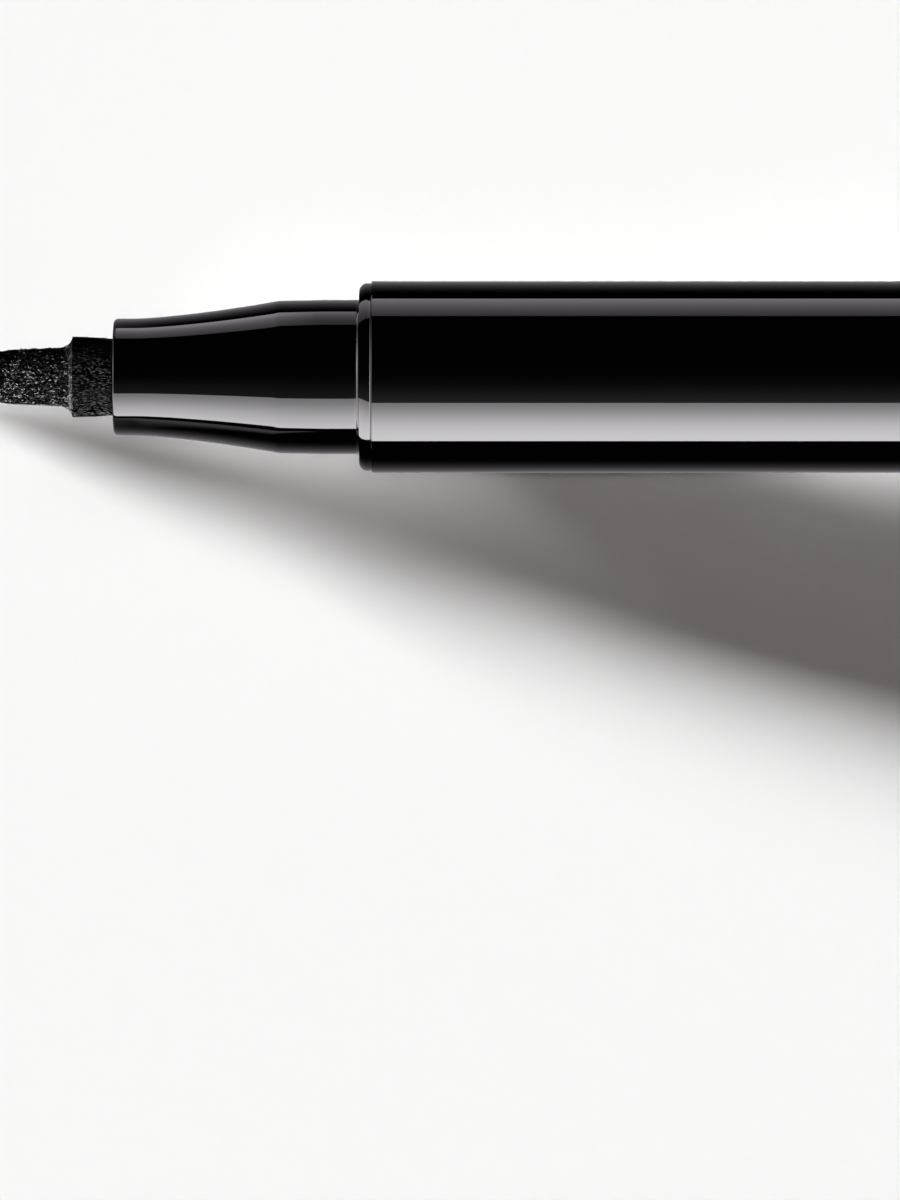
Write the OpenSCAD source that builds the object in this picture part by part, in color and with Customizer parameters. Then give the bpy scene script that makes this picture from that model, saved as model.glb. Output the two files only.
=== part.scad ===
// Felt-tip liquid eyeliner pen of the free-ink kind, lying on its side with its cap pulled off in front.
// Sizes are millimetres. X runs along the pen from the nib to the tail, and Z points up.
// Stations along the pen are counted from the shoulder, the plane where the closed cap stops.

/* [Barrel] */
// Outside diameter of the barrel, the tail plug and the cap
barrel_d = 10.5; // [10.2:0.1:12]
// Length of the barrel tube
barrel_len = 89.9; // [80:0.1:110]
// Wall of the barrel tube
barrel_wall = 0.75; // [0.6:0.05:0.8]
// Round on both end edges of the barrel, and on the tail plug where it meets them
barrel_edge_r = 0.1; // [0.05:0.01:0.3]

/* [Tail plug] */
// Length of the visible end of the tail plug
tail_end_len = 2; // [1.5:0.1:4]
// Round on the rear edge of the tail plug
tail_round_r = 0.8; // [0.3:0.05:1.2]
// Length of the tail plug's spigot inside the barrel
tail_spigot_len = 5.6; // [4:0.1:8]
// Wall of the tail plug's spigot
tail_spigot_wall = 0.9; // [0.6:0.05:1.5]
// Diameter of the moulding dimple in the tail face
dimple_d = 1.4; // [0.8:0.1:3]
// Depth of the moulding dimple
dimple_depth = 0.15; // [0.05:0.05:0.5]

/* [Shoulder ring] */
// Length of the rounded ring between the nose section and the barrel
ring_len = 0.65; // [0.5:0.05:2]
// How far the ring's side lies below the barrel's
ring_drop = 0.11; // [0.05:0.005:0.3]
// Round on the front edge of the ring
ring_round_r = 0.46; // [0.1:0.01:0.5]
// Hollow fillet at the ring's foot, where it meets the nose section
ring_cove_r = 0.15; // [0.05:0.01:0.2]
// Round on the rear edge of the ring
ring_edge_r = 0.05; // [0.02:0.01:0.1]
// Radius that the ring's side loses towards its rear edge
ring_draft = 0.02; // [0.01:0.01:0.04]

/* [Nose section] */
// Length of the nose section from its front face to the shoulder
nose_len = 13.5; // [12:0.1:18]
// Wall around the nib at the front of the nose section
nose_front_wall = 1.05; // [0.8:0.05:1.3]
// Round on the front edge
nose_lip_r = 0.27; // [0.1:0.01:0.35]
// Length of the straight neck behind the front face
nose_neck_len = 1.2; // [0.6:0.1:3]
// Diameter lost along the cap seat towards the nib, as mould draft
seat_draft = 0.1; // [0:0.01:0.2]
// Length of the cap seat
seat_len = 4.4; // [3:0.1:6]
// Power of the curve that flares the neck out to the cap seat
flare_power = 1.4; // [1:0.1:2]
// Length of the spigot that the nose section sends into the barrel
spigot_len = 21.35; // [18:0.05:24]
// Wall of that spigot around the collector
spigot_wall = 0.74; // [0.6:0.02:0.9]
// Depth of the nib's bore from the front face to the nib holder
nib_bore_len = 5.1; // [4:0.1:6]
// Chamfer at the mouth of the nib bore
nib_mouth_chamfer = 0.12; // [0.05:0.01:0.2]

/* [Felt nib] */
// How far the felt collar swells beyond the part of the nib that the nose section grips
nib_swell = 0.11; // [0.04:0.01:0.3]
// Length of felt collar that shows
nib_collar_len = 2.31; // [1:0.1:4]
// Length of the hollow step from the collar down to the stem
nib_step_len = 0.82; // [0.4:0.02:1.5]
// Height of that step
nib_step_h = 0.62; // [0.4:0.02:0.8]
// Radius that the stem loses on its way to the point
nib_stem_taper = 0.09; // [0:0.01:0.15]
// Length of the stem
nib_stem_len = 2.1; // [1:0.1:4]
// Length of the point
nib_point_len = 6.2; // [5.4:0.1:9]
// Radius of the arc that turns the stem into the point
nib_ogive_r = 5; // [3:0.1:8]
// Radius of the tip
nib_tip_r = 0.2; // [0.1:0.01:0.3]
// Length of nib held inside the nose section
nib_root_len = 9.1; // [8:0.1:10]
// Depth of the socket for the wick in the back of the nib
nib_socket_len = 3; // [1.5:0.1:4]

/* [Nib holder] */
// Wall of the nib holder around the nib
holder_wall = 0.58; // [0.5:0.02:0.7]
// Thickness of the wall between the nib and the collector's nozzle
holder_web = 2; // [1:0.1:3]
// Width of the vent grooves along the holder
holder_groove_w = 0.8; // [0.4:0.1:1.2]
// Depth of the vent grooves
holder_groove_depth = 0.2; // [0.1:0.05:0.4]
// Number of vent grooves
holder_grooves = 4; // [3:1:6]

/* [Relay wick] */
// Diameter of the fibre wick
wick_d = 2; // [1.6:0.1:2.2]
// Chamfer at the ends of the wick
wick_chamfer = 0.15; // [0.05:0.05:0.3]
// Length of wick that stands out of the feed tube into the ink
wick_reach = 3; // [1:0.5:6]

/* [Collector] */
// Pitch of the collector's fins
fin_pitch = 0.7; // [0.6:0.05:1.2]
// Thickness of a fin
fin_t = 0.35; // [0.25:0.05:0.5]
// Diameter of the core that carries the fins
fin_core_d = 3.4; // [3.2:0.1:4.4]
// Wall of the front nozzle around the wick
nozzle_wall = 0.5; // [0.4:0.05:0.8]
// Thickness of the flange between the nose section and the tank
flange_len = 1.6; // [1:0.1:3]
// Length of the plug that enters the tank
tank_plug_len = 3.4; // [2.6:0.1:6]
// Radial gap between that plug and the tank, bridged by the seal
tank_plug_gap = 0.35; // [0.2:0.05:0.5]
// Outside diameter of the feed tube
feed_tube_d = 3.2; // [2.8:0.1:4]
// Length of the feed tube
feed_tube_len = 6; // [3:0.5:10]
// Width of the capillary slit through the fins
slit_w = 0.3; // [0.2:0.05:0.5]
// Width of the air notch across from the slit
notch_w = 1; // [0.6:0.1:1.6]
// Depth of the air notch
notch_depth = 0.8; // [0.4:0.1:1.2]

/* [Collector seal] */
// Thickness of the rubber ring
seal_t = 0.76; // [0.6:0.02:0.9]
// Distance from the tank's front edge to the middle of the ring
seal_inset = 1.6; // [1:0.1:2]

/* [Ink tank] */
// Wall of the ink tank
tank_wall = 0.65; // [0.5:0.05:0.8]
// Radial gap between the tank and the barrel
tank_gap = 0.1; // [0.06:0.02:0.16]
// Width of the ribs that centre the tank in the barrel
tank_rib_w = 1; // [0.6:0.1:2]
// Distance of those ribs from the ends of the tank
tank_rib_inset = 4; // [3:0.5:10]

/* [Tank stopper] */
// Length of the stopper inside the tank
stopper_len = 4; // [3:0.1:6]
// Thickness of the stopper's rim behind the tank
stopper_rim_len = 1; // [0.6:0.1:2]
// Wall of the stopper's cup
stopper_wall = 0.8; // [0.5:0.1:1.2]

/* [Mixing ball] */
// Diameter of the steel ball in the ink
ball_d = 4; // [3:0.1:4.4]
// Distance that the ball lies behind its front stop, as drawn
ball_rest_gap = 12; // [4:0.5:30]

/* [Cap] */
// Length of the cap
cap_len = 44; // [42:0.5:60]
// Wall of the cap around its bore
cap_wall = 0.975; // [0.85:0.025:1.1]
// Wall at the closed end of the cap
cap_end_wall = 1.6; // [1:0.1:3]
// Round on the closed end
cap_end_round_r = 0.9; // [0.3:0.05:1.2]
// Round on the outer edge of the mouth
cap_mouth_round_r = 0.25; // [0.1:0.01:0.3]
// Chamfer inside the mouth
cap_mouth_chamfer = 0.3; // [0.1:0.05:0.35]
// Diameter of the guide bosses at both ends of the spring
boss_d = 4.4; // [3:0.1:4.6]
// Height of the guide boss on the cap's closed end
cap_boss_len = 2; // [1:0.1:4]
// Distance from the nib's tip to the mouth of the cap, as it lies pulled off
cap_away = 14; // [5:0.5:40]

/* [Cap liner] */
// Length of liner in front of the inner cap's lip
liner_lead = 1; // [0.5:0.1:2]
// Wall of the liner
liner_wall = 0.565; // [0.45:0.005:0.6]

/* [Inner cap] */
// Wall of the chamber around the nib
chamber_wall = 0.79; // [0.6:0.01:0.81]
// Length of lip that reaches over the nose section
lip_len = 1.3; // [0.8:0.1:2]
// Wall of that lip
lip_wall = 0.39; // [0.3:0.01:0.5]
// Room between the nib's tip and the end of the chamber
tip_room = 1.6; // [0.5:0.1:4]
// Wall at the end of the chamber
inner_end_wall = 0.9; // [0.6:0.1:2]
// Thickness of the flange that keeps the inner cap behind the liner
inner_flange_len = 1.2; // [0.8:0.1:2]
// Height of the guide boss on the back of the inner cap
inner_boss_len = 2; // [1:0.1:4]
// Travel of the inner cap against its spring
inner_travel = 1.5; // [0.5:0.1:3]

/* [Cap spring] */
// Wire diameter
wire_d = 0.45; // [0.3:0.05:0.6]
// Mean diameter of the coils
coil_d = 5.6; // [5.4:0.1:6.6]
// Number of open turns
open_turns = 6; // [4:1:8]

/* [Clearances] */
// Radial gap between pieces that are pressed together for good
fit_clear = 0.02; // [0.01:0.005:0.03]
// Radial gap between the cap and the seat that it slides onto
cap_clear = 0.05; // [0.03:0.01:0.1]
// Gap left where the closed cap stops at the ring, and the inner cap at the nose section
stop_clear = 0.05; // [0.02:0.01:0.1]
// Radial gap around the ball, and around the inner cap in its liner
slide_clear = 0.05; // [0.03:0.01:0.1]
// Gap left between the ball and its two stops
ball_stop_clear = 0.3; // [0.1:0.05:0.5]

/* [Snap beads] */
// Height of the beads that hold the pressed pieces
bead_h = 0.1; // [0.05:0.01:0.15]
// Length of a bead along the pen
bead_len = 0.8; // [0.5:0.1:1.2]
// Distance of each bead from the free end of its spigot or liner
bead_inset = 2; // [1.5:0.1:3]
// Chamfer that leads a spigot into its bore
lead_chamfer = 0.25; // [0.1:0.05:0.4]

/* [Hidden] */
$fn = 96;
arc_steps = 6;
flare_steps = 14;
wire_sides = 6;
rings_per_turn = 12;
// The first and last turn of the spring lie this close to their neighbours
closed_turn_gap = 0.1;
// Cuts run this far past the surface that they open
overrun = 0.5;

// Radii
barrel_r = barrel_d / 2;
bore_r = barrel_r - barrel_wall;
spigot_r = bore_r - fit_clear;
collector_bore_r = spigot_r - spigot_wall;
fin_r = collector_bore_r - cap_clear;
cap_bore_r = barrel_r - cap_wall;
seat_r = cap_bore_r - cap_clear;
seat_front_r = seat_r - seat_draft / 2;
liner_r = cap_bore_r - fit_clear;
liner_bore_r = liner_r - liner_wall;
inner_cap_r = liner_bore_r - slide_clear;
chamber_r = inner_cap_r - chamber_wall;
lip_r = inner_cap_r - lip_wall;
nose_front_r = lip_r - cap_clear;
nib_bore_r = nose_front_r - nose_front_wall;
nib_root_r = nib_bore_r - fit_clear;
nib_collar_r = nib_root_r + nib_swell;
nib_stem_r = nib_collar_r - nib_step_h;
holder_r = nib_bore_r + holder_wall;
wick_r = wick_d / 2;
wick_bore_r = wick_r + fit_clear;
nozzle_r = wick_bore_r + nozzle_wall;
tank_r = bore_r - tank_gap;
tank_bore_r = tank_r - tank_wall;
plug_r = tank_bore_r - tank_plug_gap;
seal_r = seal_t / 2;
seal_mid_r = tank_bore_r - fit_clear - seal_r;
ball_r = ball_d / 2;
boss_r = boss_d / 2;

// Stations along the pen, from the shoulder
nose_front_x = -nose_len;
nib_shown_len = nib_collar_len + nib_step_len + nib_stem_len + nib_point_len;
nib_tip_x = nose_front_x - nib_shown_len;
nib_back_x = nose_front_x + nib_root_len;
holder_front_x = nose_front_x + nib_bore_len;
nozzle_front_x = nib_back_x + holder_web;
barrel_front_x = ring_len;
barrel_back_x = barrel_front_x + barrel_len;
tail_x = barrel_back_x + tail_end_len;
fins_front_x = barrel_front_x + lead_chamfer;
spigot_back_x = barrel_front_x + spigot_len;
tank_front_x = spigot_back_x + flange_len;
seal_x = tank_front_x + seal_inset;
feed_front_x = tank_front_x + tank_plug_len;
feed_back_x = feed_front_x + feed_tube_len;
wick_back_x = feed_back_x + wick_reach;
tail_spigot_x = barrel_back_x - tail_spigot_len;
tank_back_x = tail_spigot_x - stopper_rim_len;
stopper_front_x = tank_back_x - stopper_len;
ball_front_x = wick_back_x + ball_stop_clear + ball_r;
ball_back_x = stopper_front_x - ball_stop_clear - ball_r;
ball_x = ball_front_x + ball_rest_gap;

// Stations inside the cap, counted from its mouth towards its closed end
inner_seat_u = nose_len;
lip_u = inner_seat_u - lip_len;
chamber_end_u = inner_seat_u + nib_shown_len + tip_room;
inner_back_u = chamber_end_u + inner_end_wall;
inner_flange_u = inner_back_u - inner_flange_len;
liner_front_u = lip_u - liner_lead;
liner_back_u = inner_flange_u - fit_clear;
cap_end_u = cap_len - cap_end_wall;

// The cap lies pulled off, and its travel closes it
cap_closed_x = -stop_clear;
cap_x = nib_tip_x - cap_away;
cap_travel = cap_closed_x - cap_x;
cap_far_x = cap_x - cap_len;
mid_x = (cap_far_x + tail_x) / 2;

// Points of an arc around [cx, cr], from one angle to another
function arc(cx, cr, r, from, to) =
    [for (i = [0:arc_steps]) let (a = from + (to - from) * i / arc_steps) [cx + r * cos(a), cr + r * sin(a)]];

// A bead of height h at station x on a surface of radius r, or a groove where h is negative
function bead(x, r, h, len) = [[x - len / 2, r], [x - len / 4, r + h], [x + len / 4, r + h], [x + len / 2, r]];

function reversed(points) = [for (i = [len(points) - 1:-1:0]) points[i]];

// A solid of revolution about the pen's axis from [station, radius] points
module turned(profile) {
    rotate([0, 90, 0])
        rotate_extrude()
            polygon([for (p = profile) [p[1], p[0]]]);
}

// Stations along the pen to the part's frame: the middle of the part, at the height of what it lies on
module on_pen() {
    translate([-mid_x, 0, barrel_r]) children();
}

// Stations inside the cap to the part's frame
module in_cap() {
    on_pen() translate([cap_x, 0, 0]) mirror([1, 0, 0]) children();
}

// Radius of the nose section's outside along the flare, for a share t of its length
function flare_r(t) = nose_front_r + (seat_front_r - nose_front_r) * pow(t, flare_power);

module felt_nib() {
    stem_front_r = nib_stem_r - nib_stem_taper;
    point_x = nib_tip_x + nib_point_len;
    stem_x = point_x + nib_stem_len;
    tip_centre_x = nib_tip_x + nib_tip_r;
    // Half angle of the cone that touches both the ogive arc and the round tip
    gap_x = point_x - tip_centre_x;
    gap_r = nib_ogive_r - stem_front_r;
    cone_angle = asin((nib_ogive_r + nib_tip_r) / norm([gap_x, gap_r])) - atan2(gap_r, gap_x);
    color("black")
        on_pen()
            turned(concat(
                [[nib_tip_x, 0]],
                arc(tip_centre_x, 0, nib_tip_r, 180, 90 + cone_angle),
                arc(point_x, stem_front_r - nib_ogive_r, nib_ogive_r, 90 + cone_angle, 90),
                [for (i = [0:arc_steps]) let (a = 90 * i / arc_steps)
                    [stem_x + nib_step_len * sin(a), nib_stem_r + nib_step_h * (1 - cos(a))]],
                [[nose_front_x, nib_root_r], [nib_back_x, nib_root_r], [nib_back_x, wick_bore_r],
                 [nib_back_x - nib_socket_len, wick_bore_r], [nib_back_x - nib_socket_len, 0]]
            ));
}

module nib_holder() {
    color("whitesmoke")
        on_pen()
            difference() {
                turned([
                    [holder_front_x, nib_bore_r], [holder_front_x, holder_r],
                    [fins_front_x, holder_r], [fins_front_x, nozzle_r + fit_clear],
                    [nozzle_front_x, nozzle_r + fit_clear], [nozzle_front_x, wick_bore_r],
                    [nib_back_x, wick_bore_r], [nib_back_x, nib_bore_r]
                ]);
                for (i = [0:holder_grooves - 1])
                    rotate([360 * i / holder_grooves, 0, 0])
                        translate([holder_front_x - overrun, -holder_groove_w / 2, holder_r - holder_groove_depth])
                            cube([fins_front_x - holder_front_x + 2 * overrun, holder_groove_w,
                                  holder_groove_depth + overrun]);
            }
}

module nose_section() {
    neck_x = nose_front_x + nose_neck_len;
    flare_len = -seat_len - neck_x;
    holder_bore_r = holder_r + fit_clear;
    color([0.02, 0.02, 0.02])
        on_pen()
            turned(concat(
                [[nose_front_x + nib_mouth_chamfer, nib_bore_r], [nose_front_x, nib_bore_r + nib_mouth_chamfer]],
                arc(nose_front_x + nose_lip_r, nose_front_r - nose_lip_r, nose_lip_r, 180, 90),
                [for (i = [0:flare_steps]) [neck_x + flare_len * i / flare_steps, flare_r(i / flare_steps)]],
                [[0, seat_r], [barrel_front_x, seat_r], [barrel_front_x, spigot_r]],
                bead(spigot_back_x - bead_inset, spigot_r, bead_h, bead_len),
                [[spigot_back_x - lead_chamfer, spigot_r], [spigot_back_x, spigot_r - lead_chamfer],
                 [spigot_back_x, collector_bore_r], [fins_front_x, collector_bore_r],
                 [fins_front_x, holder_bore_r], [holder_front_x, holder_bore_r], [holder_front_x, nib_bore_r]]
            ));
}

module shoulder_ring() {
    ring_r = barrel_r - ring_drop;
    foot_r = seat_r + fit_clear;
    color([0.03, 0.03, 0.03])
        on_pen()
            turned(concat(
                [[barrel_front_x, foot_r]],
                reversed(arc(-ring_cove_r, foot_r + ring_cove_r, ring_cove_r, 0, -90)),
                arc(ring_round_r, ring_r - ring_round_r, ring_round_r, 180, 90),
                arc(barrel_front_x - ring_edge_r, ring_r - ring_draft - ring_edge_r, ring_edge_r, 90, 0)
            ));
}

module relay_wick() {
    front_x = nib_back_x - nib_socket_len;
    color("dimgray")
        on_pen()
            turned([
                [front_x, 0], [front_x, wick_r - wick_chamfer], [front_x + wick_chamfer, wick_r],
                [wick_back_x - wick_chamfer, wick_r], [wick_back_x, wick_r - wick_chamfer], [wick_back_x, 0]
            ]);
}

module collector() {
    core_r = fin_core_d / 2;
    groove_r = seal_mid_r - seal_r - fit_clear;
    groove_len = seal_t + 2 * cap_clear;
    fins = floor((spigot_back_x - fins_front_x) / fin_pitch);
    color("gainsboro")
        on_pen()
            difference() {
                turned(concat(
                    [[nozzle_front_x, wick_bore_r], [nozzle_front_x, nozzle_r], [fins_front_x, nozzle_r]],
                    [for (i = [0:fins - 1]) let (x = fins_front_x + i * fin_pitch)
                        each [[x, i == 0 ? nozzle_r : core_r], [x, fin_r], [x + fin_t, fin_r], [x + fin_t, core_r]]],
                    [[spigot_back_x, core_r], [spigot_back_x, tank_r], [tank_front_x, tank_r],
                     [tank_front_x, plug_r], [seal_x - groove_len / 2, plug_r], [seal_x - groove_len / 2, groove_r],
                     [seal_x + groove_len / 2, groove_r], [seal_x + groove_len / 2, plug_r],
                     [feed_front_x, plug_r], [feed_front_x, feed_tube_d / 2], [feed_back_x, feed_tube_d / 2],
                     [feed_back_x, wick_bore_r]]
                ));
                translate([fins_front_x + fin_t, -slit_w / 2, 0])
                    cube([spigot_back_x - fins_front_x - fin_t, slit_w, fin_r + overrun]);
                translate([fins_front_x - overrun, -notch_w / 2, -fin_r - overrun])
                    cube([spigot_back_x - fins_front_x + overrun, notch_w, notch_depth + overrun]);
            }
}

module collector_seal() {
    color("dimgray")
        on_pen()
            translate([seal_x, 0, 0])
                rotate([0, 90, 0])
                    rotate_extrude()
                        translate([seal_mid_r, 0])
                            circle(r = seal_r);
}

module ink_tank() {
    rib_h = tank_gap - fit_clear;
    color("lightgray")
        on_pen()
            turned(concat(
                [[tank_front_x, tank_bore_r + lead_chamfer], [tank_front_x, tank_r]],
                bead(tank_front_x + tank_rib_inset, tank_r, rib_h, tank_rib_w),
                bead(tank_back_x - tank_rib_inset, tank_r, rib_h, tank_rib_w),
                [[tank_back_x, tank_r], [tank_back_x, tank_bore_r], [tank_front_x + lead_chamfer, tank_bore_r]]
            ));
}

module tank_stopper() {
    stopper_r = tank_bore_r - fit_clear;
    cup_r = stopper_r - stopper_wall;
    color("silver")
        on_pen()
            turned([
                [stopper_front_x, 0], [stopper_front_x, stopper_r - lead_chamfer],
                [stopper_front_x + lead_chamfer, stopper_r], [tank_back_x, stopper_r], [tank_back_x, tank_r],
                [tail_spigot_x, tank_r], [tail_spigot_x, cup_r], [stopper_front_x + stopper_wall, cup_r],
                [stopper_front_x + stopper_wall, 0]
            ]);
}

module mixing_ball() {
    color("silver")
        on_pen()
            translate([ball_x, 0, -(tank_bore_r - slide_clear - ball_r)])
                sphere(r = ball_r);
}

module barrel() {
    groove_h = -bead_h - fit_clear;
    groove_len = bead_len + 2 * fit_clear;
    edge_r = barrel_r - barrel_edge_r;
    color([0.02, 0.02, 0.02])
        on_pen()
            turned(concat(
                [[barrel_front_x, bore_r]],
                arc(barrel_front_x + barrel_edge_r, edge_r, barrel_edge_r, 180, 90),
                arc(barrel_back_x - barrel_edge_r, edge_r, barrel_edge_r, 90, 0),
                [[barrel_back_x, bore_r]],
                reversed(bead(tail_spigot_x + bead_inset, bore_r, -groove_h, groove_len)),
                reversed(bead(spigot_back_x - bead_inset, bore_r, -groove_h, groove_len))
            ));
}

module tail_plug() {
    inner_r = spigot_r - tail_spigot_wall;
    color([0.02, 0.02, 0.02])
        on_pen()
            turned(concat(
                [[barrel_back_x, 0], [barrel_back_x, inner_r], [tail_spigot_x, inner_r],
                 [tail_spigot_x, spigot_r - lead_chamfer], [tail_spigot_x + lead_chamfer, spigot_r]],
                bead(tail_spigot_x + bead_inset, spigot_r, bead_h, bead_len),
                [[barrel_back_x, spigot_r]],
                arc(barrel_back_x + barrel_edge_r, barrel_r - barrel_edge_r, barrel_edge_r, 180, 90),
                arc(tail_x - tail_round_r, barrel_r - tail_round_r, tail_round_r, 90, 0),
                [[tail_x, dimple_d / 2], [tail_x - dimple_depth, dimple_d / 2 - dimple_depth],
                 [tail_x - dimple_depth, 0]]
            ));
}

module cap_shell() {
    groove_h = bead_h + fit_clear;
    groove_len = bead_len + 2 * fit_clear;
    color([0.02, 0.02, 0.02])
        in_cap()
            turned(concat(
                [[0, cap_bore_r + cap_mouth_chamfer]],
                arc(cap_mouth_round_r, barrel_r - cap_mouth_round_r, cap_mouth_round_r, 180, 90),
                arc(cap_len - cap_end_round_r, barrel_r - cap_end_round_r, cap_end_round_r, 90, 0),
                [[cap_len, 0], [cap_end_u - cap_boss_len, 0], [cap_end_u - cap_boss_len, boss_r],
                 [cap_end_u, boss_r], [cap_end_u, cap_bore_r]],
                reversed(bead(liner_front_u + bead_inset, cap_bore_r, groove_h, groove_len)),
                [[cap_mouth_chamfer, cap_bore_r]]
            ));
}

module cap_liner() {
    color([0.12, 0.12, 0.12])
        in_cap()
            turned(concat(
                [[liner_front_u, liner_bore_r], [liner_front_u, liner_r - lead_chamfer],
                 [liner_front_u + lead_chamfer, liner_r]],
                bead(liner_front_u + bead_inset, liner_r, bead_h, bead_len),
                [[liner_back_u, liner_r], [liner_back_u, liner_bore_r]]
            ));
}

module inner_cap() {
    flange_r = cap_bore_r - slide_clear;
    color("whitesmoke")
        in_cap()
            turned([
                [lip_u, lip_r], [lip_u, inner_cap_r], [inner_flange_u, inner_cap_r], [inner_flange_u, flange_r],
                [inner_back_u, flange_r], [inner_back_u, boss_r], [inner_back_u + inner_boss_len, boss_r],
                [inner_back_u + inner_boss_len, 0], [chamber_end_u, 0], [chamber_end_u, chamber_r],
                [inner_seat_u, chamber_r], [inner_seat_u, lip_r]
            ]);
}

// Centre line of the spring: one closed turn, the open turns, and one more closed turn
closed_pitch = wire_d + closed_turn_gap;
spring_front_u = inner_back_u + fit_clear + wire_d / 2;
spring_back_u = cap_end_u - fit_clear - wire_d / 2;
spring_turns = open_turns + 2;
open_pitch = (spring_back_u - spring_front_u - 2 * closed_pitch) / open_turns;

function spring_u(turn) =
    spring_front_u + closed_pitch * min(turn, 1) + open_pitch * max(0, min(turn - 1, open_turns))
    + closed_pitch * max(0, turn - 1 - open_turns);

module cap_spring() {
    rings = spring_turns * rings_per_turn;
    points = [for (i = [0:rings]) let (turn = i / rings_per_turn, a = 360 * turn)
        for (k = [0:wire_sides - 1]) let (
            b = 360 * k / wire_sides,
            r = coil_d / 2 + wire_d / 2 * cos(b))
            [spring_u(turn) + wire_d / 2 * sin(b), r * cos(a), r * sin(a)]];
    sides = [for (i = [0:rings - 1]) for (k = [0:wire_sides - 1]) let (
        a = i * wire_sides + k,
        b = i * wire_sides + (k + 1) % wire_sides)
        each [[a, b, b + wire_sides], [a, b + wire_sides, a + wire_sides]]];
    front = [for (k = [wire_sides - 2:-1:1]) [0, k + 1, k]];
    last = rings * wire_sides;
    back = [for (k = [1:wire_sides - 2]) [last, last + k, last + k + 1]];
    color("silver")
        in_cap()
            polyhedron(points = points, faces = concat(sides, front, back));
}

felt_nib();
nib_holder();
nose_section();
shoulder_ring();
relay_wick();
collector();
collector_seal();
ink_tank();
tank_stopper();
mixing_ball();
barrel();
tail_plug();
cap_shell();
cap_liner();
inner_cap();
cap_spring();
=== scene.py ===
"""Looks of the liquid eyeliner pen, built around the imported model. Lengths are metres, angles radians."""
import math

import bmesh
import bpy
import numpy as np
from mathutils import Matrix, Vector, noise


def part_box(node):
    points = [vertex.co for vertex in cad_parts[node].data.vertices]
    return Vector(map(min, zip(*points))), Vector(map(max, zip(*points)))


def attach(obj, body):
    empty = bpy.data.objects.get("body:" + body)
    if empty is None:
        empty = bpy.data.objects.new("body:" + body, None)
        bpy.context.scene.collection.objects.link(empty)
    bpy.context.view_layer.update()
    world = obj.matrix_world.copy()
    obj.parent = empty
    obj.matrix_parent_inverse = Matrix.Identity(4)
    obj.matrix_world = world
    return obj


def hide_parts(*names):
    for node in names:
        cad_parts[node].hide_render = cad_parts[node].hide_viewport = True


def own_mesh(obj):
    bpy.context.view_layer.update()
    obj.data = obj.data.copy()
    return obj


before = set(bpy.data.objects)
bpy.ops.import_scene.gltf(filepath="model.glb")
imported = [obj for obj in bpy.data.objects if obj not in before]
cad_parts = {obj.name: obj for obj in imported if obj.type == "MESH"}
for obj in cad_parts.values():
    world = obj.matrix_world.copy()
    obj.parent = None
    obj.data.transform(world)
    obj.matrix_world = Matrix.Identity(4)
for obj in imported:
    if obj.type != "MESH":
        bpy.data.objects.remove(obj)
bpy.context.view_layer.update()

MM = 0.001
# Radius under which a point of a profile counts as on the axis
ON_AXIS = 1e-7

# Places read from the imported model
BARREL_LOW, BARREL_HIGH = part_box("barrel")
RING_LOW, RING_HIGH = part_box("shoulder_ring")
NOSE_LOW, NOSE_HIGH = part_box("nose_section")
NIB_LOW, NIB_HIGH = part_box("felt_nib")
TAIL_LOW, TAIL_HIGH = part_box("tail_plug")
CAP_LOW, CAP_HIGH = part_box("cap_shell")
LINER_LOW, LINER_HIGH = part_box("cap_liner")
INNER_LOW, INNER_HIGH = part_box("inner_cap")
SPRING_LOW, SPRING_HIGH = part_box("cap_spring")

AXIS_Z = (BARREL_LOW.z + BARREL_HIGH.z) / 2
BARREL_R = (BARREL_HIGH.z - BARREL_LOW.z) / 2
RING_R = (RING_HIGH.z - RING_LOW.z) / 2
BARREL_X = BARREL_LOW.x
BARREL_END_X = BARREL_HIGH.x
TAIL_X = TAIL_HIGH.x
NOSE_X = NOSE_LOW.x
SPIGOT_END_X = NOSE_HIGH.x
NIB_TIP_X = NIB_LOW.x
NIB_BACK_X = NIB_HIGH.x

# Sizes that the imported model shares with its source
RING_LEN = 0.65 * MM
SHOULDER_X = BARREL_X - RING_LEN
BARREL_WALL = 0.75 * MM
FIT_CLEAR = 0.02 * MM
CAP_WALL = 0.975 * MM
CAP_CLEAR = 0.05 * MM
BORE_R = BARREL_R - BARREL_WALL
SPIGOT_R = BORE_R - FIT_CLEAR
CAP_BORE_R = BARREL_R - CAP_WALL
SEAT_R = CAP_BORE_R - CAP_CLEAR
SEAT_FRONT_R = SEAT_R - 0.05 * MM
NOSE_FRONT_R = 3.2 * MM
NIB_BORE_R = 2.15 * MM
NIB_ROOT_R = NIB_BORE_R - FIT_CLEAR
NIB_COLLAR_R = (NIB_HIGH.z - NIB_LOW.z) / 2
NIB_STEM_R = NIB_COLLAR_R - 0.62 * MM
LEAD = 0.25 * MM
# Snap beads and the grooves that take them, and how far they lie from the end of their piece
SNAP_LEN = 0.8 * MM
SNAP_RISE = 0.1 * MM
GROOVE_LEN = 0.84 * MM
GROOVE_DEPTH = 0.12 * MM
SNAP_PLACE = 2 * MM
TAIL_SNAP_PLACE = 3.6 * MM


def arc(centre_x, centre_r, radius, start, end, steps=10):
    """Points [x, r] on an arc, from one angle to another in degrees."""
    points = []
    for i in range(steps + 1):
        a = math.radians(start + (end - start) * i / steps)
        points.append((centre_x + radius * math.cos(a), centre_r + radius * math.sin(a)))
    return points


def bead(x, radius, height, length):
    """A raised bead, or a groove where height is negative."""
    return [(x - length / 2, radius), (x - length / 4, radius + height),
            (x + length / 4, radius + height), (x + length / 2, radius)]


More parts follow.
